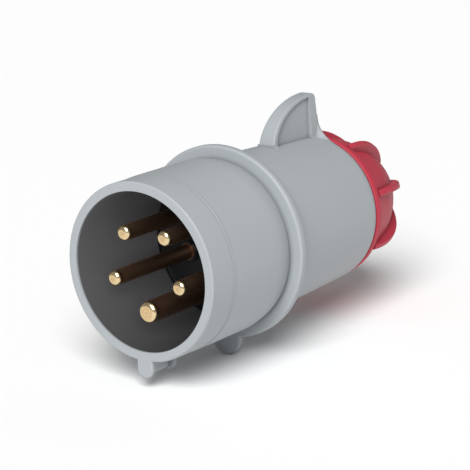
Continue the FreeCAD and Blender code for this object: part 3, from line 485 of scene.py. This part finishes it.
def hook_flare(bm, side, radius_at_rear, reach, sections=14, arc_points=16):
    """Hollow between one flank of the hook's back and the housing, widening to the housing's rear edge."""
    hidden = 0.03 * MM          # under the solids' own faces, so that no two faces coincide
    front_share = 0.05          # of the radius at the rear, left at the flare's front
    inside_share = 0.8          # of the hook's half width, where the piece ends inside the hook
    start = HOUSING_REAR_Y - reach
    loops = []
    for i in range(sections + 1):
        share = i / sections
        radius = radius_at_rear * (front_share + (1 - front_share) * share ** 3)
        surface = rear_surface(start + reach * share) - hidden
        half = hook_half(HOOK_BACK_FOOT_Z)
        for _ in range(3):      # the flank leans, so its width at the arc's top is found in a few rounds
            centre_z = math.sqrt((surface + radius) ** 2 - (half + radius) ** 2)
            half = hook_half(centre_z) - hidden
        centre_x = half + radius
        end = math.atan2(-centre_z, -centre_x) + math.tau
        outer, inner = [], []
        for k in range(arc_points + 1):
            angle = math.pi + (end - math.pi) * k / arc_points
            x, z = centre_x + radius * math.cos(angle), centre_z + radius * math.sin(angle)
            y = start + (hook_back(z) - hidden - start) * share
            outer.append(bm.verts.new((side * x, y, z)))
            inner.append(bm.verts.new((side * half * inside_share, y, z)))
        loops.append(outer + inner[::-1])
    skin_between(bm, loops)
    count = len(loops[0])
    for loop in (loops[0], loops[-1]):
        for k in range(arc_points):
            bm.faces.new((loop[k], loop[k + 1], loop[count - 2 - k], loop[count - 1 - k]))


def soft_light(name, place, side, power):
    """A square soft light at a place, turned to the plug's middle."""
    light = bpy.data.lights.new(name, "AREA")
    light.size = side
    light.energy = power
    holder = bpy.data.objects.new(name, light)
    bpy.context.scene.collection.objects.link(holder)
    holder.location = place
    middle = (CAD_BOX[0] + CAD_BOX[1]) / 2
    holder.rotation_mode = "QUATERNION"
    holder.rotation_quaternion = (middle - Vector(place)).to_track_quat("-Z", "Y")
    return holder


def overhead_light():
    """A broad sun from the camera's side, so that the plug's soft shadow falls behind it."""
    sun = bpy.data.lights.new("overhead_light", "SUN")
    sun.energy = OVERHEAD_STRENGTH
    sun.angle = OVERHEAD_SPREAD
    holder = bpy.data.objects.new("overhead_light", sun)
    bpy.context.scene.collection.objects.link(holder)
    holder.rotation_mode = "QUATERNION"
    holder.rotation_quaternion = OVERHEAD_FROM.to_track_quat("Z", "Y")
    return holder


def shine_on(light, receivers):
    """Limits a light to some objects; the others still cast its shadows."""
    group = bpy.data.collections.new(light.name + "_receivers")
    for item in receivers:
        group.objects.link(item)
    light.light_linking.receiver_collection = group


class PLUG_OT_grey_shells(bpy.types.Operator):
    """Finish the front sleeve and the rear housing, and widen the foot of the hook's back"""

    bl_idname = "plug.grey_shells"
    bl_label = "Grey shells"

    def execute(self, context):
        sizes, colours = context.scene.plug_sizes, context.scene.plug_colours
        grey = shell_plastic("polyamide_spark_eroded_grey", tuple(colours.grey), sizes.grain, sizes.edge,
                             sizes.hook_edge)
        dress(GREY_SHELLS, grey)
        flare = bmesh.new()
        for side in (-1, 1):
            hook_flare(flare, side, sizes.flare_radius, sizes.flare_length)
        mesh_piece("hook_flare", flare, "rear_housing", grey)
        return {"FINISHED"}


class PLUG_OT_black_mouldings(bpy.types.Operator):
    """Finish the pin carrier, the retainer and the clamp cage"""

    bl_idname = "plug.black_mouldings"
    bl_label = "Black mouldings"

    def execute(self, context):
        sizes, colours = context.scene.plug_sizes, context.scene.plug_colours
        insert = lined_insert("polyamide_lined_black", tuple(colours.lining), tuple(colours.black),
                              sizes.lining_depth, sizes.grain, sizes.edge)
        black = moulded_plastic("polyamide_moulded_black", tuple(colours.black), sizes.grain, sizes.edge,
                                roughness=0.45, depth=0.01 * MM, mottling=0.04)
        dress(("pin_carrier",), insert)
        dress(BLACK_MOULDINGS, black)
        return {"FINISHED"}


class PLUG_OT_contacts(bpy.types.Operator):
    """Finish the brass pins and the screws"""

    bl_idname = "plug.contacts"
    bl_label = "Pins and screws"

    def execute(self, context):
        sizes, colours = context.scene.plug_sizes, context.scene.plug_colours
        centres = [(low + high) / 2 for low, high in map(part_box, PIN_NODES)]
        tip_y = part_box("earth_pin")[0].y
        tints = [tuple(tint) for tint in (colours.brass, colours.end_brass, colours.shank_brass)]
        dress(PIN_NODES, turned_brass("brass_turned", tints, sizes.turning, centres, tip_y))
        screws = [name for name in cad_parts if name.startswith(SCREW_PREFIXES)]
        dress(screws, plated_steel("steel_zinc_plated", tuple(colours.zinc)))
        return {"FINISHED"}


class PLUG_OT_gland(bpy.types.Operator):
    """Finish the gland's nut, washer and seals, and cut its threads"""

    bl_idname = "plug.gland"
    bl_label = "Cable gland"

    def execute(self, context):
        sizes, colours = context.scene.plug_sizes, context.scene.plug_colours
        red = moulded_plastic("polyamide_moulded_red", tuple(colours.red), sizes.grain, sizes.edge,
                              roughness=0.5, depth=0.01 * MM, mottling=0.04)
        red.node_tree.nodes["Principled BSDF"].inputs["Specular IOR Level"].default_value = NUT_SPECULAR
        acetal = moulded_plastic("acetal_moulded_white", tuple(colours.acetal), sizes.grain, sizes.edge,
                                 roughness=0.3, depth=0.005 * MM, mottling=0.01)
        dress(("gland_nut",), red)
        dress(("gland_washer",), acetal)
        dress(RUBBER_SEALS, moulded_rubber("rubber_moulded_black", tuple(colours.rubber)))
        self.cut_threads(sizes, bpy.data.materials["polyamide_spark_eroded_grey"], red)
        return {"FINISHED"}

    def cut_threads(self, sizes, grey, red):
        """Threads on the housing's tube and in the nut, which the solids hold as plain cylinders."""
        tube_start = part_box("clamp_cage")[0].y + TUBE_THREAD_START
        tube_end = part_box("rear_housing")[1].y - TUBE_THREAD_END
        tube = helix(sizes.thread_core - THREAD_ROOTED, sizes.thread_crest, tube_start, tube_end,
                     sizes.thread_pitch)
        mesh_piece("housing_thread", tube, "rear_housing", grey)
        between_turns = tube_start + sizes.thread_pitch / 2
        bore_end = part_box("gland_washer")[0].y - NUT_THREAD_END
        bore = helix(sizes.nut_thread_root + THREAD_ROOTED, sizes.nut_thread_crest, between_turns, bore_end,
                     sizes.thread_pitch)
        mesh_piece("nut_thread", bore, "gland_nut", red)


class PLUG_OT_stage(bpy.types.Operator):
    """Set up the floor, the studio light and the camera"""

    bl_idname = "plug.stage"
    bl_label = "Stage"

    def execute(self, context):
        scene = context.scene
        scene.view_settings.view_transform = "Standard"
        floor = self.place_floor(scene)
        self.light_studio(scene, floor)
        self.place_camera(scene)
        return {"FINISHED"}

    def place_floor(self, scene):
        """A wide sheet of pale paper just under the plug."""
        half = scene.plug_sizes.floor_side / 2
        height = CAD_BOX[0].z - FLOOR_GAP
        corners = [(-half, -half, height), (half, -half, height), (half, half, height), (-half, half, height)]
        mesh = bpy.data.meshes.new("floor")
        mesh.from_pydata(corners, [], [(0, 1, 2, 3)])
        floor = bpy.data.objects.new("floor", mesh)
        scene.collection.objects.link(floor)
        material, _, shader = new_material("paper_floor")
        shader.inputs["Base Color"].default_value = tuple(scene.plug_colours.floor)
        shader.inputs["Roughness"].default_value = 0.9
        mesh.materials.append(material)
        return floor

    def light_studio(self, scene, floor):
        """White surroundings, and a light each for the plug, for its lined mouth and for the floor."""
        world = bpy.data.worlds.new("studio")
        world.use_nodes = True
        background = world.node_tree.nodes["Background"]
        background.inputs["Color"].default_value = WHITE
        background.inputs["Strength"].default_value = SURROUNDINGS_STRENGTH
        scene.world = world
        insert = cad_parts["pin_carrier"]
        outside = [item for item in scene.objects if item.type == "MESH" and item not in (floor, insert)]
        shine_on(soft_light("key_light", KEY_PLACE, KEY_SIDE, KEY_POWER), outside)
        shine_on(soft_light("low_light", LOW_PLACE, LOW_SIDE, LOW_POWER), [insert])
        shine_on(overhead_light(), [floor])

    def place_camera(self, scene):
        """The photograph's camera."""
        camera = bpy.data.cameras.new("camera")
        camera.sensor_width = SENSOR
        camera.lens = SENSOR * CAMERA_FOCAL_PIXELS / PHOTO_SIDE
        camera.clip_start, camera.clip_end = CAMERA_CLIP
        holder = bpy.data.objects.new("camera", camera)
        scene.collection.objects.link(holder)
        a, e = CAMERA_AZIMUTH, CAMERA_ELEVATION
        back = Vector((math.sin(a) * math.cos(e), -math.cos(a) * math.cos(e), math.sin(e)))
        level = Vector((math.cos(a), math.sin(a), 0))
        upright = back.cross(level)
        right = math.cos(CAMERA_ROLL) * level + math.sin(CAMERA_ROLL) * upright
        up = back.cross(right)
        turn = Matrix((right, up, back)).transposed()
        holder.matrix_world = Matrix.Translation(CAMERA_PLACE) @ turn.to_4x4()
        scene.camera = holder


class PLUG_PT_panel(bpy.types.Panel):
    """Lists the plug's finishing steps"""

    bl_idname = "PLUG_PT_panel"
    bl_label = "Pin and sleeve plug"
    bl_space_type = "VIEW_3D"
    bl_region_type = "UI"
    bl_category = "Plug"

    def draw(self, context):
        for operator in STEPS:
            self.layout.operator(operator.bl_idname)
        for group in (context.scene.plug_sizes, context.scene.plug_colours):
            for name in group.__annotations__:
                self.layout.prop(group, name)


STEPS = (PLUG_OT_grey_shells, PLUG_OT_black_mouldings, PLUG_OT_contacts, PLUG_OT_gland, PLUG_OT_stage)
CLASSES = (PlugSizes, PlugColours, *STEPS, PLUG_PT_panel)


def register():
    for item in CLASSES:
        bpy.utils.register_class(item)
    bpy.types.Scene.plug_sizes = bpy.props.PointerProperty(type=PlugSizes)
    bpy.types.Scene.plug_colours = bpy.props.PointerProperty(type=PlugColours)


def unregister():
    del bpy.types.Scene.plug_colours
    del bpy.types.Scene.plug_sizes
    for item in reversed(CLASSES):
        bpy.utils.unregister_class(item)


def main():
    register()
    bpy.ops.plug.grey_shells()
    bpy.ops.plug.black_mouldings()
    bpy.ops.plug.contacts()
    bpy.ops.plug.gland()
    bpy.ops.plug.stage()


if __name__ == "__main__":
    main()
